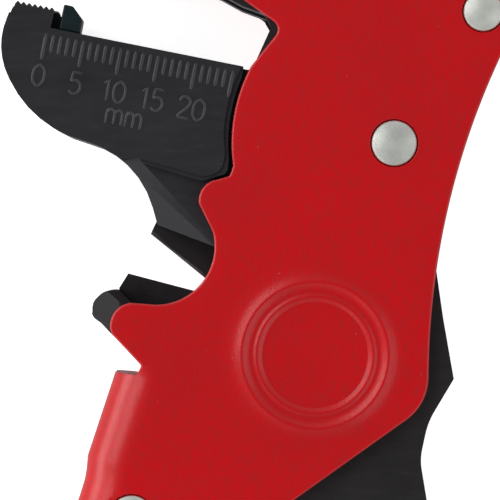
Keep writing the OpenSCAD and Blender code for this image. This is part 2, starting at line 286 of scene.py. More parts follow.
def revolve(bm, profile, c=(0, 0), n=64):
    """A turned solid or skin from (radius, z) points; a zero radius closes it."""
    rings = []
    for r, z in profile:
        if r == 0:
            rings.append([bm.verts.new((c[0], c[1], z))])
        else:
            rings.append(ring(bm, [(c[0] + x, c[1] + y) for x, y in arc((0, 0), r, 0, 360, n)[:-1]], z))
    for a, b in zip(rings, rings[1:]):
        for i in range(n):
            k = (i + 1) % n
            quad = [a[i % len(a)], a[k % len(a)], b[k % len(b)], b[i % len(b)]]
            quad = [v for j, v in enumerate(quad) if v not in quad[:j]]
            if len(quad) > 2:
                bm.faces.new(quad)
    return rings


def stroke(bm, pts, width, height, z, closed=False):
    """A low rounded rib along a line of points, standing on level z."""
    n = len(pts)
    rows = []
    for i, p in enumerate(pts):
        a = Vector(pts[(i - 1) % n] if closed or i else p)
        b = Vector(pts[(i + 1) % n] if closed or i < n - 1 else p)
        d = (b - a).normalized()
        side = Vector((-d.y, d.x))
        end = 0.25 if not closed and i in (0, n - 1) else 1
        row = []
        for k in range(7):
            a = math.pi * k / 6
            q = Vector(p) + side * (width / 2 * math.cos(a) * (0.5 + end / 2))
            row.append(bm.verts.new((q.x, q.y, z + height * math.sin(a) * end - 0.02)))
        rows.append(row)
    pairs = list(zip(rows, rows[1:])) + ([(rows[-1], rows[0])] if closed else [])
    for r, t in pairs:
        for k in range(6):
            bm.faces.new((r[k], t[k], t[k + 1], r[k + 1]))
        bm.faces.new((r[6], t[6], t[0], r[0]))
    if not closed:
        bm.faces.new(rows[0])
        bm.faces.new(rows[-1][::-1])


def mirrored(bm):
    """Adds the z-mirrored copy of everything built so far."""
    made = bmesh.ops.duplicate(bm, geom=bm.verts[:] + bm.edges[:] + bm.faces[:])
    verts = [g for g in made["geom"] if isinstance(g, bmesh.types.BMVert)]
    faces = [g for g in made["geom"] if isinstance(g, bmesh.types.BMFace)]
    for v in verts:
        v.co.z = -v.co.z
    bmesh.ops.reverse_faces(bm, faces=faces)


def put(name, bm, body, material, replaces=(), sharp=35, recalc=True):
    """Turns layout millimetres into a finished piece in the frame."""
    if recalc:
        bmesh.ops.recalc_face_normals(bm, faces=bm.faces[:])
    for v in bm.verts:
        v.co = ORIGIN + v.co * MM
    limit = math.radians(sharp)
    for f in bm.faces:
        f.smooth = True
    for e in bm.edges:
        if len(e.link_faces) == 2 and e.calc_face_angle(0) > limit:
            e.smooth = False
    mesh = bpy.data.meshes.new(name)
    bm.to_mesh(mesh)
    bm.free()
    mesh.materials.append(material)
    obj = bpy.data.objects.new(name, mesh)
    bpy.context.scene.collection.objects.link(obj)
    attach(obj, body)
    if replaces:
        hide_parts(*replaces)
    return obj


# ---------- Materials ----------
def nodes_of(name):
    mat = bpy.data.materials.new(name)
    mat.use_nodes = True
    tree = mat.node_tree
    return mat, tree, tree.nodes["Principled BSDF"]


def link(tree, a, b):
    tree.links.new(a, b)


def noise(tree, scale, detail=3.0, rough=0.5, stretch=(1, 1, 1), kind="noise"):
    """A texture in the object's own metres, so that its grain has a real size."""
    coords = tree.nodes.new("ShaderNodeTexCoord")
    place = tree.nodes.new("ShaderNodeMapping")
    place.inputs["Scale"].default_value = stretch
    link(tree, coords.outputs["Object"], place.inputs["Vector"])
    tex = tree.nodes.new("ShaderNodeTexNoise" if kind == "noise" else "ShaderNodeTexVoronoi")
    tex.inputs["Scale"].default_value = scale
    if kind == "noise":
        tex.inputs["Detail"].default_value = detail
        tex.inputs["Roughness"].default_value = rough
    link(tree, place.outputs["Vector"], tex.inputs["Vector"])
    return tex.outputs["Fac"] if kind == "noise" else tex.outputs["Distance"]


def remap(tree, value, lo, hi, a=0.0, b=1.0):
    m = tree.nodes.new("ShaderNodeMapRange")
    m.inputs["From Min"].default_value = a
    m.inputs["From Max"].default_value = b
    m.inputs["To Min"].default_value = lo
    m.inputs["To Max"].default_value = hi
    link(tree, value, m.inputs["Value"])
    return m.outputs["Result"]


def blend_colors(tree, factor, a, b):
    mix = tree.nodes.new("ShaderNodeMix")
    mix.data_type = "RGBA"
    link(tree, factor, mix.inputs["Factor"])
    for socket, c in (("A", a), ("B", b)):
        target = [s for s in mix.inputs if s.name == socket and s.type == "RGBA"][0]
        if isinstance(c, tuple):
            target.default_value = (*c, 1)
        else:
            link(tree, c, target)
    return [s for s in mix.outputs if s.type == "RGBA"][0]


def bump(tree, shader, heights):
    """Chains (value, strength, distance) heights into the shader's normal."""
    last = None
    for value, strength, distance in heights:
        b = tree.nodes.new("ShaderNodeBump")
        b.inputs["Strength"].default_value = strength
        b.inputs["Distance"].default_value = distance
        link(tree, value, b.inputs["Height"])
        if last:
            link(tree, last, b.inputs["Normal"])
        last = b.outputs["Normal"]
    link(tree, last, shader.inputs["Normal"])


def red_paint():
    mat, tree, s = nodes_of("red_paint")
    broad = noise(tree, 60, 2, 0.5)
    streaks = noise(tree, 1100, 3, 0.6, (1.9, 0.75, 1))
    peel = noise(tree, 1300, 3, 0.5, (1.2, 0.7, 1))
    specks = noise(tree, 300, kind="voronoi")
    base = blend_colors(tree, remap(tree, broad, 0, 1, 0.35, 0.65),
                        (0.60, 0.0024, 0.0060), (0.53, 0.0042, 0.0075))
    base = blend_colors(tree, remap(tree, streaks, 0, 0.7, 0.42, 0.68), base, (0.45, 0.0072, 0.0095))
    base = blend_colors(tree, remap(tree, specks, 0.8, 0, 0.0, 0.03), base, (0.75, 0.22, 0.22))
    # Painted highlight: the plate's rounded rim, marked by the rim attribute, is painted a paler pink that
    # stands in for light caught by the edge
    rim = tree.nodes.new("ShaderNodeAttribute")
    rim.attribute_name = "rim"
    base = blend_colors(tree, remap(tree, rim.outputs["Fac"], 0, 0.4), base, (0.50, 0.085, 0.095))
    link(tree, base, s.inputs["Base Color"])
    link(tree, remap(tree, streaks, 0.28, 0.36, 0.3, 0.7), s.inputs["Roughness"])
    s.inputs["Specular IOR Level"].default_value = 0.4
    bump(tree, s, [(peel, 0.22, 0.00006), (streaks, 0.22, 0.00006), (noise(tree, 110, 2), 0.10, 0.0003)])
    return mat


def moulded(name, dark, light):
    mat, tree, s = nodes_of(name)
    cloud = noise(tree, 90, 3, 0.55)
    fine = noise(tree, 2600, 3, 0.6)
    scuffs = noise(tree, 700, 5, 0.7, (0.3, 1.7, 1))
    base = blend_colors(tree, remap(tree, cloud, 0, 1, 0.35, 0.65), dark, light)
    worn = tuple(c * 1.9 + 0.01 for c in light)
    base = blend_colors(tree, remap(tree, scuffs, 0, 0.5, 0.62, 0.8), base, worn)
    link(tree, base, s.inputs["Base Color"])
    link(tree, remap(tree, scuffs, 0.34, 0.46, 0.35, 0.65), s.inputs["Roughness"])
    s.inputs["Specular IOR Level"].default_value = 0.32
    bump(tree, s, [(fine, 0.2, 0.00005), (cloud, 0.08, 0.0003)])
    return mat


def metal(name, dark, light, rough=(0.2, 0.38), brush=(0.15, 3, 1), metallic=1.0):
    mat, tree, s = nodes_of(name)
    grind = noise(tree, 2600, 3, 0.6, brush)
    cloud = noise(tree, 260, 3, 0.6)
    base = blend_colors(tree, remap(tree, cloud, 0, 1, 0.35, 0.65), dark, light)
    link(tree, base, s.inputs["Base Color"])
    link(tree, remap(tree, grind, rough[0], rough[1], 0.3, 0.7), s.inputs["Roughness"])
    s.inputs["Metallic"].default_value = metallic
    bump(tree, s, [(grind, 0.12, 0.00003), (cloud, 0.06, 0.0001)])
    return mat


def rubber():
    mat, tree, s = nodes_of("grip_rubber")
    pebble = noise(tree, 1300, kind="voronoi")
    cloud = noise(tree, 70, 3)
    base = blend_colors(tree, remap(tree, cloud, 0, 1, 0.35, 0.65),
                        (0.016, 0.016, 0.017), (0.028, 0.028, 0.030))
    link(tree, base, s.inputs["Base Color"])
    link(tree, remap(tree, cloud, 0.62, 0.78, 0.3, 0.7), s.inputs["Roughness"])
    s.inputs["Specular IOR Level"].default_value = 0.35
    s.inputs["Sheen Weight"].default_value = 0.08
    bump(tree, s, [(pebble, 0.35, 0.00012), (cloud, 0.1, 0.0004)])
    return mat


RED = red_paint()
JAW_BLACK = moulded("black_plastic", (0.018, 0.018, 0.0210), (0.0245, 0.0245, 0.028))
# Painted highlight: the scale's raised marks are black plastic like the jaw; this paler grey stands in for
# light caught on them
MARK_HIGHLIGHT_GREY = moulded("mark_painted_highlight", (0.040, 0.040, 0.043), (0.050, 0.050, 0.054))
HANDLE_BLACK = moulded("handle_plastic", (0.0165, 0.0148, 0.0155), (0.0230, 0.0205, 0.0215))
STOP_BLACK = moulded("stop_plastic", (0.003, 0.010, 0.013), (0.005, 0.015, 0.018))
RUBBER = rubber()
NICKEL = metal("rivet_nickel", (0.50, 0.515, 0.48), (0.63, 0.645, 0.60), rough=(0.38, 0.50),
               brush=(1, 1, 1), metallic=0.35)
STEEL = metal("bright_steel", (0.48, 0.48, 0.49), (0.62, 0.62, 0.63))
DARK_STEEL = metal("dark_steel", (0.026, 0.0235, 0.0245), (0.041, 0.036, 0.038), rough=(0.34, 0.5),
                   metallic=0.6)
TOOTH_STEEL = metal("tooth_steel", (0.030, 0.030, 0.033), (0.050, 0.050, 0.054), rough=(0.36, 0.5),
                    metallic=0.5)
BRONZE = metal("bronze", (0.48, 0.32, 0.12), (0.58, 0.40, 0.17), rough=(0.3, 0.45))


# ---------- Body shells ----------
CUTTER_BAY = arc((-20.9, 14.3), 7.72, -90, 14, 24)
GUARD_BUMP = arc((-12.5, 20.3), 2.75, 190, 97, 10)
SILHOUETTE = [(-26.38, -2.3), (-30.05, -13.4), (-30.2, -15.2), (-30.45, -16.6), (-31.2, -19.0),
              (-46.6, -62.0)]
NOSE = [(-26.69, 2.76), (-26.92, 3.9), (-26.5, 5.35), (-25.5, 6.4), (-24.3, 6.85)]


def plate_outline():
    """The stamped plate's edge: round the head, down the back and up the front to the throat."""
    head = [(-9.5, 46.7, 10), (-16, 51.4, 6), (-18.8, 58.4, 4), (-13, 62.6, 5), (6, 62.6, 30),
            (22, 57.7, 20), (29, 49.4, 7), (15.3, 19.2, 100), (14.85, -6.5, 7), (-17.4, -29.5, 8),
            (-28.9, -62)]
    spine = [(x, y, 1.5 if 0 < i < 5 and i != 2 else 0) for i, (x, y) in enumerate(SILHOUETTE[::-1])]
    nose = [(-23.4, -2.68, 0.15), (-22.8, -1.4, 0.35)] + spline(NOSE, 4)
    throat = arc(JAW_PIVOT, 21.35, 188, 152, 24)
    return soft(head + spine + nose + CUTTER_BAY + GUARD_BUMP + [(-11.2, 23.5, 0.5)] + throat
                + [(-6.3, 40.55, 2), (-4.3, 43, 1.3)], 0.4)


def spine_distance(x, y):
    """How far a point lies inside the front silhouette."""
    line = SILHOUETTE
    best = 1e9
    for (x0, y0), (x1, y1) in zip(line, line[1:]):
        d = Vector((x1 - x0, y1 - y0))
        lo = -1e9 if (x0, y0) == line[0] else 0
        hi = 1e9 if (x1, y1) == line[-1] else 1
        t = max(lo, min(hi, (Vector((x - x0, y - y0)).dot(d)) / d.length_squared))
        best = min(best, math.dist((x, y), (x0 + d.x * t, y0 + d.y * t)))
    return best


def bend_weight(x, y):
    """1 where the plate is bent round the front edge, 0 on the flat nose above the relief cut."""
    if y > 0.3 or x > -10:
        return 0
    if x < -23.3:
        return 1 if y < -1.9 else 0
    across = smooth((-20.3 - x) / 2.9)
    down = smooth((-2.4 - y) / 5)
    return (across + (1 - across) * down) * smooth((-0.6 - y) / 2.2)


SHELL_RIM = 0.30
RELIEF_RIM = 0.06
RELIEF_LEAN = 0.6  # how far the relief cut's wall leans back under the plate


def edge_round(x, y):
    """Radius of the plate's rounded rim: full along the stamped outline, tiny at the relief cut."""
    return RELIEF_RIM if -2.9 < y < -1.9 and x < -23.0 else SHELL_RIM


# The embossing's height over the plate as (radius, height) points, and the radii of its mesh rings
EMBOSS_CURVE = spline([(0, 0), (6.3, 0), (7.0, 0.08), (7.5, 0.29), (7.75, 0.32), (8.15, 0.17), (8.5, 0.15),
                       (9.0, 0.29), (9.5, 0.53), (9.72, 0.56), (10.1, 0.41), (10.9, 0.17), (12.0, 0.04),
                       (13.0, 0)], 5)
EMBOSS_R = [1.5, 3, 4.5, 5.8, 6.5, 6.7, 6.85, 7.0, 7.15, 7.3, 7.45, 7.6, 7.72, 7.85, 7.97, 8.1, 8.25, 8.45,
            8.65, 8.85, 9.05, 9.25, 9.45, 9.65, 9.85, 10.05, 10.3, 10.55, 10.8, 11.1, 11.5, 12.0, 12.5, 13.0]
RIVETS = [(tuple(JAW_PIVOT), 2.95), (HEAD_RIVET, 2.58), (UPPER_RIVET, 2.58), (HANDLE_RIVET, 2.95)]
# The sunk seat round each rivet head
RIVET_GAP = 0.26
SEAT_DEPTH = 0.5
SEAT_WALL = 0.14


def plate_height(x, y):
    """Level of the plate's outer face."""
    r = math.hypot(x, y)
    z = PLATE_TOP
    if r < EMBOSS_R[-1]:
        (r0, z0), (r1, z1) = next((a, b) for a, b in zip(EMBOSS_CURVE, EMBOSS_CURVE[1:]) if r <= b[0])
        z += z0 + (z1 - z0) * (r - r0) / (r1 - r0)
    for c, r in RIVETS:
        d = math.dist((x, y), c)
        if d < r + RIVET_GAP:
            z -= SEAT_DEPTH * smooth((r + RIVET_GAP - d) / SEAT_WALL)
    w = bend_weight(x, y)
    d = spine_distance(x, y)
    if w and d < BEND_WIDTH:
        z -= w * BEND_R * (1 - math.sqrt(max(0, 1 - (1 - d / BEND_WIDTH) ** BEND_POWER)))
    return z


def inner_height(x, y):
    """Level of the plate's inner face."""
    z = PLATE_TOP - PLATE_T
    w = bend_weight(x, y)
    if w:
        d = spine_distance(x, y)
        r = BEND_R - PLATE_T
        if d < PLATE_T:
            return z * (1 - w) + 0.03 * w
        if d < BEND_R:
            z -= w * (r - math.sqrt(max(0, r**2 - (BEND_R - d) ** 2)))
    return z


def spine_x(y):
    """Where the front silhouette is at a height y."""
    for (x0, y0), (x1, y1) in zip(SILHOUETTE, SILHOUETTE[1:]):
        if y1 <= y <= y0:
            return x0 + (x1 - x0) * (y - y0) / (y1 - y0)


def shell(name, side):
    """One stamped plate with its rim, bend, embossing, rivet seats and inner face."""
    bm = bmesh.new()
    # The rim attribute carries a painted highlight: 1 at the side of the rounded edge, falling to 0 where
    # the round meets the face, and 0 along the bend
    rim = bm.verts.layers.float.new("rim")
    loop = resample(plate_outline(), 0.6)
    turns = 6
    rims = [edge_round(*p) for p in loop]
    unit = [(Vector(q) - Vector(p)) / 0.1 for p, q in zip(loop, inset(loop, 0.1))]
    rings = []
    for k in range(turns + 1):
        a = math.pi / 2 * k / turns
        row = []
        for p, u, edge in zip(loop, unit, rims):
            x, y = Vector(p) + u * edge * (1 - math.cos(a))
            bent = bend_weight(x, y) > 0.98 and spine_distance(*p) < 0.03
            drop = 0 if bent else edge * (1 - math.sin(a))
            row.append(bm.verts.new((x, y, plate_height(x, y) - drop)))
            row[-1][rim] = 0 if bent else 1 - k / turns
        rings.append(row)
    for lower, upper in zip(rings, rings[1:]):
        bridge(bm, lower, upper)
    circle = arc((0, 0), EMBOSS_R[-1], 0, 360, 120)[:-1]
    inner_loop = [tuple(v.co.xy) for v in rings[-1]]
    extra = []
    for i in range(120):
        t = i / 119
        for theta in range(6, 84, 6):
            u = BEND_WIDTH * math.sin(math.radians(theta))
            y = SILHOUETTE[0][1] - 0.8 - t * 58.2
            extra.append((spine_x(y) + (BEND_WIDTH - u) / SPINE_SLANT, y))
    for c, r in RIVETS:
        for d in (-0.2, 0.1, 0.18, 0.26, 0.32, 1.0):
            extra += arc(c, r + d, 0, 360, 48)[:-1]
    filled = lattice(inner_loop, [circle], 1.7, 0.9)
    keep = [p for p in filled if spine_distance(*p) > BEND_WIDTH + 0.4 or p[1] > -2.6]
    keep = [p for p in keep if all(not r - 0.6 < math.dist(p, c) < r + 1.7 for c, r in RIVETS)]
    top_ring = ring(bm, circle, 0)
    top_extra = [bm.verts.new((x, y, 0)) for x, y in extra + keep]
    for v in top_ring + top_extra:
        v.co.z = plate_height(v.co.x, v.co.y)
    flat = rings[-1] + top_ring + top_extra
    faces = triangulate([inner_loop, circle], extra + keep)
    for ids in faces:
        bm.faces.new([flat[i] for i in ids])
    last = top_ring
    for r in EMBOSS_R[-2::-1]:
        row = ring(bm, arc((0, 0), r, 0, 360, 120)[:-1], 0)
        for v in row:
            v.co.z = plate_height(v.co.x, v.co.y)
        bridge(bm, last, row)
        last = row
    bm.faces.new(last)
    under = [bm.verts.new((x, y - (RELIEF_LEAN if edge == RELIEF_RIM else 0), inner_height(x, y)))
             for (x, y), edge in zip(loop, rims)]
    for i in range(len(loop)):
        k = (i + 1) % len(loop)
        bm.faces.new((under[i], under[k], rings[0][k], rings[0][i]))
    below = [bm.verts.new((v.co.x, v.co.y, inner_height(v.co.x, v.co.y))) for v in top_ring + top_extra]
    floor = under + below
    for ids in faces:
        bm.faces.new([floor[i] for i in ids[::-1]])
    bm.faces.new(below[: len(circle)][::-1])
    if side < 0:
        for v in bm.verts:
            v.co.z = -v.co.z
        bmesh.ops.reverse_faces(bm, faces=bm.faces[:])
    return put(name, bm, "body", RED, [name.replace("_painted", "")], sharp=50, recalc=False)


# ---------- Rivets ----------
def dome(r, base, height):
    """Profile of a low domed head with a small rounded rim, from the centre outwards."""
    out = [(0, base + height)]
    flat_r = r * 0.86
    rise = height * 0.62
    for k in range(1, 9):
        a = k / 8
        out.append((flat_r * a, base + height - rise * a * a))
    for k in range(1, 6):
        a = math.pi / 2 * k / 5
        out.append((flat_r + (r - flat_r) * math.sin(a), base + (height - rise) * math.cos(a) - 0.02 * k))
    return out


def rivet(name, c, r):
    bm = bmesh.new()
    revolve(bm, dome(r, PLATE_TOP - 0.08, 0.92) + [(r - 0.05, PLATE_TOP - 0.5)], c)
    mirrored(bm)
    revolve(bm, [(0, 8.9), (2.2, 8.9), (2.2, -8.9), (0, -8.9)], c, 32)
    return put(name + "_head", bm, "body", NICKEL, [name], sharp=45)


for name, (c, r) in zip(("jaw_pivot_rivet", "head_rivet", "upper_jaw_rivet", "handle_rivet"), RIVETS):
    rivet(name, c, r)
shell("front_shell_painted", 1)
shell("back_shell_painted", -1)

# ---------- Pieces finished from their CAD nodes ----------
def hull(points, flip=False):
    """A closed convex solid round some points."""
    bm = bmesh.new()
    for x, y, z in points:
        bm.verts.new((x, y, -z if flip else z))
    bmesh.ops.convex_hull(bm, input=bm.verts[:])
    return bm


def both(points):
    return [hull(points), hull(points, flip=True)]


def block(outline, z0, z1):
    bm = bmesh.new()
    prism(bm, outline, z0, z1, 0, 0, step=50)
    return bm


def temp_object(bm, name):
    bmesh.ops.recalc_face_normals(bm, faces=bm.faces[:])
    mesh = bpy.data.meshes.new(name)
    bm.to_mesh(mesh)
    bm.free()
    obj = bpy.data.objects.new(name, mesh)
    bpy.context.scene.collection.objects.link(obj)
    return obj


def cad_mesh(node):
    """A node's own shape in layout millimetres, with its split corners joined again."""
    bm = bmesh.new()
    bm.from_mesh(frame["nodes"][node].data)
    for v in bm.verts:
        v.co = (v.co - ORIGIN) / MM
    bmesh.ops.remove_doubles(bm, verts=bm.verts, dist=0.002)
    return bm


def carved(bm, add=(), cut=()):
    """The shape with solids added and cut away."""
    base = temp_object(bm, "carving")
    tools = []
    for kind, solids in (("UNION", add), ("DIFFERENCE", cut)):
        for solid in solids:
            tool = temp_object(solid, "tool")
            tools.append(tool)
            mod = base.modifiers.new(kind, "BOOLEAN")
            mod.operation = kind
            mod.solver = "EXACT"
            mod.object = tool
    depsgraph = bpy.context.evaluated_depsgraph_get()
    out = bmesh.new()
    out.from_mesh(base.evaluated_get(depsgraph).to_mesh())
    for o in [base] + tools:
        mesh = o.data
        bpy.data.objects.remove(o)
        bpy.data.meshes.remove(mesh)
    bmesh.ops.remove_doubles(out, verts=out.verts, dist=0.003)
    return out


def soften(obj, width, angle=28, segments=2):
    """Small rounded edges and even shading."""
    bevel = obj.modifiers.new("edges", "BEVEL")
    bevel.width = width * MM
    bevel.segments = segments
    bevel.limit_method = "ANGLE"
    bevel.angle_limit = math.radians(angle)
    bevel.use_clamp_overlap = True
    bevel.miter_outer = "MITER_ARC"
    shade = obj.modifiers.new("shading", "WEIGHTED_NORMAL")
    shade.keep_sharp = True
    shade.weight = 60


def finished(name, node, material, edge=0.15, add=(), cut=()):
    bm = cad_mesh(node)
    if add or cut:
        bm = carved(bm, add, cut)
    bmesh.ops.dissolve_limit(bm, angle_limit=math.radians(0.6), verts=bm.verts[:], edges=bm.edges[:])
    body = frame["nodes"][node]["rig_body"]
    obj = put(name, bm, body, material, [node], sharp=180)
    if edge:
        soften(obj, edge)
    return obj


def wedge(footprint, degrees, z):
    """Corners of a cutting solid whose lower face slopes down from a ridge at height z.

    The ridge is the footprint's first edge.
    """
    a, b = Vector(footprint[0]), Vector(footprint[1])
    along_ridge = (b - a).normalized()
    out = []
    for p in footprint:
        d = abs(along_ridge.cross(Vector(p) - a))
        out += [(*p, z - d * math.tan(math.radians(degrees))), (*p, z + 4)]
    return out


# ---------- Lower jaw ----------
ARM_FACET = wedge([(-23.2, 25.84), (-12.6, 14.21), (-17.4, 9.8), (-26, 15), (-27.5, 25.3)], 27, 7.7)
PANEL_LEDGE = (
    arc(JAW_PIVOT, 22.45, 151, 176, 28)
    + spline([(-11.98, 28.0), (-11.85, 26.5), (-12.1, 25.1), (-12.8, 24.05), (-14.5, 23.5), (-16.3, 23.9),
              (-21.3, 25.3), (-23.4, 25.75), (-24.7, 25.8)], 5)[1:-1]
    + [(-24.7, 25.6), (-24, 20), (-5, 15), (-2, 45)]
)
TICK_START = -47.57
TICK_TOP = 5.15
STOP_E = -46.1
PANEL_TOP = 9.3


def on_both_sides(outline, z0, z1):
    """Two mirrored blocks, from z0 to z1 and from -z1 to -z0."""
    return [block(outline, z0, z1), block(outline, -z1, -z0)]


def lower_jaw():
    """The moulding, with a ledge round its panel, a facet on its arm and a fuller tip beside the slot."""
    ledge = on_both_sides(PANEL_LEDGE, 8.92, 12)
    stub = [on_jaw(-47.4, 5.5), on_jaw(-46.2, 5.5), on_jaw(-46.2, 7.6), on_jaw(-46.6, 8.3),
            on_jaw(-47.4, 8.3)]
    tip = [on_jaw(-47.24, 6.1), on_jaw(-47.24, 8.1), on_jaw(-47.9, 8.25), on_jaw(-52.3, 8.2), (-39.72, 45.6),
           (-40.22, 44.4), (-39.4, 43)]
    added = on_both_sides(stub, 3.97, 4.9) + on_both_sides(tip, 3.98, 9.27)
    finished("lower_jaw_moulding", "lower_jaw", JAW_BLACK, 0.22, added,
             both(ARM_FACET) + ledge)


# The figures as strokes, (points, closed), in millimetres from the lower left corner
GLYPHS = {
    "0": [(spline([(0.9, 2.8), (0.28, 2.25), (0.14, 1.4), (0.28, 0.55), (0.9, 0), (1.52, 0.55), (1.66, 1.4),
                   (1.52, 2.25), (0.9, 2.8)], 3)[:-1], True)],
    "1": [([(0.2, 2.2), (0.55, 2.45), (0.8, 2.8), (0.8, 2.0), (0.8, 1.0), (0.8, 0)], False)],
    "2": [(spline([(0.15, 2.1), (0.35, 2.65), (0.9, 2.8), (1.45, 2.5), (1.5, 1.9), (1.1, 1.25),
                   (0.5, 0.6), (0.12, 0)], 3), False),
          ([(0.12, 0), (0.9, 0), (1.65, 0)], False)],
    "5": [([(1.5, 2.8), (0.9, 2.8), (0.4, 2.8), (0.32, 2.2), (0.25, 1.55)], False),
          (spline([(0.25, 1.55), (0.8, 1.8), (1.4, 1.55), (1.62, 0.9), (1.35, 0.25), (0.75, 0),
                   (0.15, 0.3)], 3), False)],
    "m": [([(0.15, 2.0), (0.15, 1.2), (0.15, 0.6), (0.15, 0)], False),
          (spline([(0.15, 1.45), (0.6, 1.95), (1.05, 1.75), (1.18, 1.2), (1.18, 0.6), (1.18, 0)], 3), False),
          (spline([(1.18, 1.45), (1.62, 1.95), (2.07, 1.75), (2.2, 1.2), (2.2, 0.6), (2.2, 0)], 3), False)],
}
ADVANCE = {"0": 1.95, "1": 1.45, "2": 1.9, "5": 1.85, "m": 2.55}
LABELS = [("0", (-36.3, 36.75)), ("5", (-31.5, 35.7)), ("10", (-26.4, 34.65)), ("15", (-21.45, 33.6)),
          ("20", (-16.2, 32.35)), ("mm", (-25.1, 31.0))]


def label(bm, text, centre, z, back):
    """Raised figures; on the back face each is turned about its own upright axis so that it reads."""
    flip = -1 if back else 1
    width = sum(ADVANCE[c] for c in text) - 0.2
    height = 2.0 if text == "mm" else 2.8
    start = -width / 2
    for c in text:
        for pts, closed in GLYPHS[c]:
            line = [turn((flip * (start + x), y - height / 2), OPEN_ANGLE) for x, y in pts]
            stroke(bm, [(centre[0] + x, centre[1] + y) for x, y in line], 0.42, 0.16, z, closed)
        start += ADVANCE[c]


def scale_marks():
    """The stripping scale, moulded on both faces of the jaw panel, with a paler grey painted on its black
    marks as a highlight.
    """
    bm = bmesh.new()
    for back in (True, False):
        for k in range(26):
            length = 3.45 if k % 5 == 0 else 2.35
            pts = [on_jaw(TICK_START + k, TICK_TOP - length * i / 5) for i in range(6)]
            stroke(bm, pts, 0.54, 0.18, PANEL_TOP)
        for text, centre in LABELS:
            label(bm, text, centre, PANEL_TOP, back)
        if back:
            for v in bm.verts:
                v.co.z = -v.co.z
    return put("measuring_scale", bm, "lower_jaw", MARK_HIGHLIGHT_GREY, sharp=60)


def serrated(name, node, body, origin, turned_by, length, depth, z, slot_z, up):
    """A hardened strip with a row of fine teeth, in one piece on each side of the knife slot."""
    bm = bmesh.new()
    profile = [(0, 0)]
    n = round(length / 0.8)
    for k in range(n):
        x = length * k / n
        profile += [(x + 0.06, depth - 0.42), (x + length / n * 0.45, depth), (x + length / n * 0.62, depth)]
    profile += [(length, depth - 0.42), (length, 0)]
    pts = []
    for x, y in profile:
        px, py = turn((origin[0] + x, origin[1] + (y if up else -y)), turned_by[0])
        pts.append((px + turned_by[1][0], py + turned_by[1][1]))
    spans = [(slot_z, z), (-z, -slot_z)] if slot_z else [(-z, z)]
    for z0, z1 in spans:
        prism(bm, pts, z0, z1, 0, 0, step=50)
    obj = put(name, bm, body, TOOTH_STEEL, [node], sharp=30)
    soften(obj, 0.06, 35)
    return obj


def length_stop():
    """The sliding stop, whose back half is narrower along its right edge."""
    shaved = block([on_jaw(STOP_E + 2.25, 5.6), on_jaw(STOP_E + 3, 5.6), on_jaw(STOP_E + 3, 9.8),
                    on_jaw(STOP_E + 0.65, 9.8)], -9.5, 0)
    finished("length_stop_slider", "length_stop", STOP_BLACK, 0.2, (), [shaved])


# ---------- Cutter ----------
def raise_face(obj):
    """Brings the lower blade's face, or its screws, level with the mid-plane, in front of the arm."""
    for v in obj.data.vertices:
        if v.co.z > ORIGIN.z - 0.06 * MM:
            v.co.z = ORIGIN.z


def blade(name, node, edge, outward, side, grind):
    """A cutter blade with its ground bevel along the cutting edge."""
    (ax, ay), (bx, by) = edge
    ox, oy = outward
    pts = []
    top = 2.5 * side
    lip = 0.35 * side
    clear = top + 3 * side
    for x, y in ((ax - (bx - ax), ay - (by - ay)), (bx + (bx - ax), by + (by - ay))):
        back_x, back_y = x - ox * grind, y - oy * grind
        out_x, out_y = x + ox * 3, y + oy * 3
        pts += [(x, y, lip), (back_x, back_y, top), (back_x, back_y, clear), (out_x, out_y, clear),
                (out_x, out_y, lip)]
    obj = finished(name, node, DARK_STEEL, 0.05, (), [hull(pts)])
    if side < 0:
        raise_face(obj)


# ---------- Rear handle ----------
ARM_END = [(-22.5, 8.0), (-24.6, 8.75), (-26.06, 8.8), (-27.3, 8.8), (-28.6, 8.0), (-29.42, 7.0),
           (-29.42, 5.9), (-29.2, 5.3), (-28.75, 4.72), (-27.95, 3.93), (-26.98, 2.9), (-23.5, -0.6),
           (-20.5, 0)]
ARM_TRIM = spline([(-29.33, 5.5), (-29.33, 6.2), (-29.15, 6.95), (-28.6, 7.62), (-27.8, 8.25), (-26.8, 8.5),
                   (-25.9, 8.48), (-25.2, 8.75)], 3) + [(-25.2, 9.9), (-31, 9.9), (-31, 5.5)]


# Cleared away in front of the lower blade. A floor deeper than this makes the boolean leave stray faces.
BLADE_BAY = [(-25.9, 8.6), (-24.3, 6.94), (-23.4, 6.0), (-19, 5.6), (-12.5, 6.4), (-13, 8.6), (-20, 9.6),
             (-25.5, 10.5)]
BLADE_BAY_FLOOR = -0.02


def rear_handle():
    """The moulding, with the rounded and facetted end of its cutter arm."""
    cut = both(wedge([(-25.2, 0.4), (-26.0, 9.6), (-31, 9.6), (-31, 0.4)], 20, 7.64))
    cut.append(hull(wedge([(-28.2, 8.49), (-23.0, 5.25), (-21.5, 7.3), (-26.9, 11.2)], 60, 7.7)))
    cut += [block(ARM_TRIM, -9, 9.5), block(BLADE_BAY, BLADE_BAY_FLOOR, 9)]
    finished("rear_handle_moulding", "rear_handle", HANDLE_BLACK, 0.25,
             on_both_sides(ARM_END, 4.2, 7.67), cut)


# ---------- Grips ----------
def chord(loop, y0, slope, x0):
    """Where the sloping line through (x0, y0) crosses a loop: its leftmost and rightmost x."""
    xs = []
    for (x1, y1), (x2, y2) in zip(loop, loop[1:] + loop[:1]):
        s1 = y1 - y0 - slope * (x1 - x0)
        s2 = y2 - y0 - slope * (x2 - x0)
        if (s1 > 0) != (s2 > 0):
            xs.append(x1 + (x2 - x1) * s1 / (s1 - s2))
    return (min(xs), max(xs)) if xs else None


GROOVES = (0.2, 0.86)  # where the finger grooves start and end, as shares of a grip's length
GROOVE_PITCH = 6.5
GROOVE_DEPTH = 0.55
FIT = 0.35  # how far a sleeve stays inside its outline
CAP_LENGTH = 5.5
LIP_LENGTH = 1.2


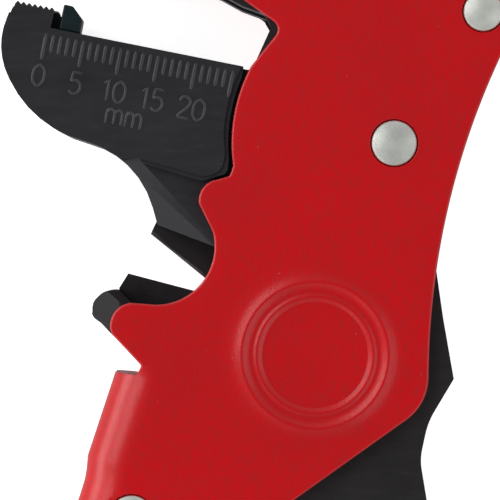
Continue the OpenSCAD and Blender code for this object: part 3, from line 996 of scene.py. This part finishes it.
def grip(name, node, body, outline, top, bottom, slope, outer):
    """A sleeve lofted along its outline, with finger grooves on the outer side and soft ends."""
    loop = soft(outline, 0.8)
    bm = bmesh.new()
    rows = 150
    around = 56
    rings = []
    for i in range(rows + 1):
        t = i / rows
        y0 = top[1] + (bottom[1] - top[1]) * t
        x0 = top[0] + (bottom[0] - top[0]) * t
        tilt = slope * (1 - smooth(t / 0.35))
        xs = chord(loop, y0, tilt, x0)
        cx, half = sum(xs) / 2, (xs[1] - xs[0]) / 2
        length = abs(bottom[1] - top[1])
        near_top = t * length
        near_end = (1 - t) * length
        height = GRIP_Z - 0.5 * smooth((t - 0.32) / 0.12) * smooth((0.7 - t) / 0.2)
        cap = math.sqrt(1 - max(0, 1 - near_end / CAP_LENGTH) ** 2)
        lip = math.sqrt(1 - max(0, 1 - near_top / LIP_LENGTH) ** 2)
        collar = FIT * smooth((5.0 - near_top) / 0.8)
        closing = 0.3 + 0.7 * cap if cap < 1 else 1
        inwards = 1.1 * (1 - lip)
        square = 4.4 - 1.3 * smooth((t - 0.3) / 0.3)
        row = []
        for k in range(around):
            a = 2 * math.pi * k / around
            c, s = math.cos(a), math.sin(a)
            shape = (abs(c) ** square + abs(s) ** square) ** (-1 / square)
            groove = 0
            if GROOVES[0] < t < GROOVES[1]:
                wave = math.cos((t - GROOVES[0]) * length / GROOVE_PITCH * 2 * math.pi)
                groove = GROOVE_DEPTH * smooth((wave - 0.55) / 0.45) * smooth(max(0, c * outer) / 0.55)
                groove *= smooth((t - GROOVES[0]) / 0.03) * smooth((GROOVES[1] - t) / 0.03)
            hx = (half - groove - FIT + collar) * closing - inwards
            hz = (height - FIT + collar - groove * 0.3) * closing - inwards
            x = cx + hx * shape * c
            row.append(bm.verts.new((x, y0 + tilt * (x - x0), hz * shape * s)))
        rings.append(row)
    for a, b in zip(rings, rings[1:]):
        bridge(bm, a, b)
    for row in (rings[0], rings[-1]):
        bm.faces.new(row)
    return put(name, bm, body, RUBBER, [node], sharp=50)


# ---------- Spring ----------
def spring():
    """Open turns of wire with a closed turn at each end."""
    left, right, radius, wire, y0 = -23.6, -9.4, 2.9, 0.5, -11.0
    bm = bmesh.new()
    steps, sides = 30, 12
    closed_turns, open_turns = 0.9, 4.2
    total = 2 * closed_turns + open_turns
    n = round(total * steps)
    span = right - left - 2 * wire
    end_coil = wire * 2 * 0.95  # how far a closed turn advances
    rings = []
    for i in range(n + 1):
        turns_done = i / steps
        if turns_done < closed_turns:
            x = turns_done / closed_turns * end_coil
        elif turns_done > total - closed_turns:
            x = span - (total - turns_done) / closed_turns * end_coil
        else:
            x = end_coil + (span - 2 * end_coil) * (turns_done - closed_turns) / open_turns
        a = 2 * math.pi * turns_done
        centre = Vector((left + wire + x, y0 + radius * math.cos(a), radius * math.sin(a)))
        out = Vector((0, math.cos(a), math.sin(a)))
        side = Vector((1, 0, 0))
        rings.append([bm.verts.new(centre + out * wire * math.cos(2 * math.pi * k / sides)
                                   + side * wire * math.sin(2 * math.pi * k / sides)) for k in range(sides)])
    for a, b in zip(rings, rings[1:]):
        bridge(bm, a, b)
    bm.faces.new(rings[0])
    bm.faces.new(rings[-1])
    obj = put("return_spring_wire", bm, "body", STEEL, ["return_spring"], sharp=60)
    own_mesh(obj)


lower_jaw()
scale_marks()
length_stop()
serrated("lower_teeth_strip", "lower_grip_teeth", "lower_jaw", (-52.5, 7.0),
         (OPEN_ANGLE, tuple(JAW_PIVOT)), 5.3, 1.68, 8.9, KNIFE_SLOT, True)
serrated("upper_teeth_strip", "upper_grip_teeth", "body", (-53.4, GRIP_LINE + 1.7),
         (GRIP_ANGLE, (0, 0)), 4.4, 1.68, 8.0, 0, False)
blade("upper_cutter_edge", "upper_cutter_blade", ((-21.75, 15.9), (-13.6, 9.3)), (-0.629, -0.777), 1, 0.5)
blade("lower_cutter_edge", "lower_cutter_blade", ((-24.76, 10.66), (-16.2, 8.4)), (0.255, 0.967), -1, 1.5)
rear_handle()
REAR_GRIP = [(4, -26, 2), (7.5, -50, 40), (9, -85, 50), (5.5, -108, 20), (8.5, -121, 6), (22, -121, 8),
             (29, -103, 20), (29, -72, 40), (17.2, -24, 3)]
FRONT_GRIP = [(-38.8, -35.5, 3), (-50, -66, 60), (-56, -88, 30), (-56, -112, 12), (-52, -121, 6),
              (-40, -121, 8), (-35.6, -104, 20), (-33, -84, 50), (-16.8, -39, 3)]
grip("rear_grip_sleeve", "rear_grip", "rear_handle", REAR_GRIP, (10.6, -25.6), (15.2, -120.6), 0.152, 1)
grip("front_grip_sleeve", "front_grip", "body", FRONT_GRIP, (-27.8, -37.6), (-46.0, -120.6), -0.159, -1)
spring()

# ---------- Inner metalwork keeps its CAD shape, with small edge rounds ----------
INNER = {
    "upper_jaw": (JAW_BLACK, "black_plastic", 0.22), "main_pivot_pin": (STEEL, "bright_steel", 0.3),
    "jaw_pivot_bush": (BRONZE, "bronze", 0.1), "spacer_sleeve": (STEEL, "bright_steel", 0.1),
    "spring_seat": (JAW_BLACK, "black_plastic", 0.12), "drive_lever": (STEEL, "bright_steel", 0.12),
    "pull_pin": (STEEL, "bright_steel", 0.2), "closing_roller": (STEEL, "bright_steel", 0.15),
    "roller_pin": (STEEL, "bright_steel", 0.15), "lower_cutter_screws": (DARK_STEEL, "bright_steel", 0.04),
    "upper_cutter_screws": (DARK_STEEL, "bright_steel", 0.04), "pull_yoke": (STEEL, "bright_steel", 0.12),
    "upper_knife_arm": (STEEL, "bright_steel", 0.12), "upper_knife": (STEEL, "bright_steel", 0.06),
    "yoke_screw": (STEEL, "bright_steel", 0.1), "lower_knife_arm": (STEEL, "bright_steel", 0.12),
    "lower_knife": (STEEL, "bright_steel", 0.06),
}
# Shaved off the upper jaw, so that its grip edge rises evenly to the recess in its front part
JAW_RELIEF = [on_grip_line(s, h) for s, h in
              ((-40, 38), (-22, 38), (-22, 38.8), (-28.6, 39.68), (-40, 39.68))]
for node, (material, slot, edge) in INNER.items():
    cut = [block(JAW_RELIEF, -9.5, 9.5)] if node == "upper_jaw" else []
    piece = finished(node + "_finished", node, material, edge, (), cut)
    if node == "lower_cutter_screws":
        raise_face(piece)

# ---------- Stage, light, camera ----------
VIEW_WIDTH = 65.6
VIEW_CENTRE = (-8.53, 13.78)
CAMERA_HEIGHT = 0.6


def floor():
    """A pale sheet that the camera sees, but that neither lights the part nor shows in its gloss."""
    mat, tree, s = nodes_of("floor")
    cloud = noise(tree, 6, 2)
    link(tree, blend_colors(tree, cloud, (0.90, 0.90, 0.90), (0.93, 0.93, 0.93)), s.inputs["Base Color"])
    s.inputs["Roughness"].default_value = 0.9
    s.inputs["Emission Color"].default_value = (1, 1, 1, 1)
    s.inputs["Emission Strength"].default_value = 0.78
    bm = bmesh.new()
    bmesh.ops.create_grid(bm, x_segments=8, y_segments=8, size=1.5)
    mesh = bpy.data.meshes.new("floor")
    bm.to_mesh(mesh)
    bm.free()
    mesh.materials.append(mat)
    obj = bpy.data.objects.new("floor", mesh)
    bpy.context.scene.collection.objects.link(obj)
    obj.location.z = CAD_BOX[0][2]
    obj.visible_glossy = False
    obj.visible_diffuse = False
    obj.visible_shadow = False


def softbox(name, direction, distance, size, watts):
    target = ORIGIN + Vector((-8, 14, 0)) * MM
    lamp = bpy.data.lights.new(name, "AREA")
    lamp.shape = "RECTANGLE"
    lamp.size, lamp.size_y = size
    lamp.energy = watts
    obj = bpy.data.objects.new(name, lamp)
    bpy.context.scene.collection.objects.link(obj)
    obj.location = target + Vector(direction).normalized() * distance
    obj.rotation_euler = (target - obj.location).to_track_quat("-Z", "Y").to_euler()


def surroundings():
    """A studio that is bright round the sides, dim overhead and half as bright below."""
    world = bpy.data.worlds.new("world")
    world.use_nodes = True
    tree = world.node_tree
    direction = tree.nodes.new("ShaderNodeTexCoord")
    parts = tree.nodes.new("ShaderNodeSeparateXYZ")
    ramp = tree.nodes.new("ShaderNodeValToRGB")
    link(tree, direction.outputs["Generated"], parts.inputs["Vector"])
    link(tree, parts.outputs["Z"], ramp.inputs["Fac"])
    link(tree, ramp.outputs["Color"], tree.nodes["Background"].inputs["Color"])
    levels = ((0.0, 0.45), (0.06, 0.85), (0.45, 0.85), (0.8, 0.2), (1.0, 0.13))
    for i, (at, level) in enumerate(levels):
        stop = ramp.color_ramp.elements[i] if i < 2 else ramp.color_ramp.elements.new(at)
        stop.position = at
        stop.color = (level, level, level, 1)
    bpy.context.scene.world = world


def camera():
    data = bpy.data.cameras.new("camera")
    depth = CAMERA_HEIGHT - (ORIGIN.z + PLATE_TOP * MM)
    data.sensor_width = 36
    data.lens = data.sensor_width * depth / (VIEW_WIDTH * MM)
    obj = bpy.data.objects.new("camera", data)
    bpy.context.scene.collection.objects.link(obj)
    obj.location = (ORIGIN.x + VIEW_CENTRE[0] * MM, ORIGIN.y + VIEW_CENTRE[1] * MM, CAMERA_HEIGHT)
    bpy.context.scene.camera = obj


floor()
softbox("key", (-1, 0.2, 0.06), 0.55, (0.5, 0.3), 1.5)
softbox("left_high", (-0.8, 0.45, 0.9), 0.8, (0.6, 0.4), 2.2)
softbox("right_high", (1, -0.3, 0.9), 0.8, (0.8, 0.6), 1.3)
softbox("front_low", (-0.8, -0.75, 0.45), 0.6, (0.3, 0.2), 0.5)
surroundings()
bpy.context.scene.view_settings.view_transform = "Standard"
camera()
